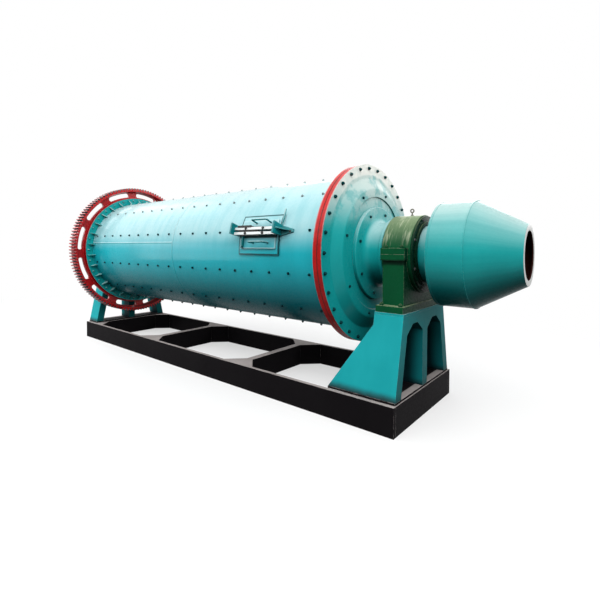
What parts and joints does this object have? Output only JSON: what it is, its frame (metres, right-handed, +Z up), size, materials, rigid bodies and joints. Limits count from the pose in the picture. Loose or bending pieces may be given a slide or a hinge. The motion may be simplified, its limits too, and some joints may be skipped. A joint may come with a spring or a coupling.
{
  "type": "ball mill",
  "caption": "Horizontal grinding drum with a toothed ring gear and a conical feeder, turning in two bearings on arched stands over a ladder base.",
  "frame": {"origin": "centre of the overall footprint at floor level, under the mill axis", "axes": "+X along the mill axis to the feed end, +Y away from the manhole side, +Z up"},
  "size_m": [6.62, 2.144, 2.567],
  "materials": {
    "drum_teal": "gloss enamel",
    "stand_teal": "satin enamel",
    "flange_red": "gloss enamel",
    "gear_red": "gloss enamel with bare worn teeth",
    "bearing_green": "gloss enamel",
    "base_black": "satin enamel"
  },
  "bodies": {
    "frame": {"base_side_beam_near": "base_black", "base_side_beam_far": "base_black", "base_end_beam_gear": "base_black", "base_end_beam_feed": "base_black", "base_cross_beam_gear": "base_black", "base_cross_beam_feed": "base_black", "stand_sole_feed": "base_black", "stand_body_feed": "stand_teal", "stand_top_feed": "stand_teal", "bearing_lower_feed": "bearing_green", "bearing_cap_feed": "bearing_green", "bearing_ring_feed": "bearing_green", "bearing_eye_feed": "bearing_green", "stand_sole_gear": "base_black", "stand_body_gear": "stand_teal", "stand_top_gear": "stand_teal", "bearing_lower_gear": "bearing_green", "bearing_cap_gear": "bearing_green", "bearing_ring_gear": "bearing_green", "bearing_eye_gear": "bearing_green"},
    "drum": {"shell": "drum_teal", "shell_flange_feed": "flange_red", "shell_flange_gear": "flange_red", "gear_flange_gussets": "drum_teal", "ring_gear": "gear_red", "head_feed": "drum_teal", "head_gear": "drum_teal", "trunnion_feed": "drum_teal", "trunnion_gear": "drum_teal", "feeder_back_plate": "drum_teal", "feeder_drum": "drum_teal", "feeder_cone": "drum_teal", "discharge_spout": "drum_teal", "manhole_frame": "drum_teal", "manhole_door": "drum_teal", "clamp_lug_gear_side": "drum_teal", "clamp_lug_feed_side": "drum_teal", "clamp_bar_upper": "drum_teal", "clamp_bar_lower": "drum_teal", "clamp_screws_upper": "drum_teal", "clamp_screws_lower": "drum_teal", "clamp_lever": "drum_teal", "door_handle_upper": "drum_teal", "door_handle_lower": "drum_teal"}
  },
  "joints": [
    {"name": "drum_spin", "type": "hinge", "parent": "frame", "child": "drum", "pos_m": [2.3385, 0, 1.495], "axis": [1, 0, 0], "continuous": true}
  ]
}
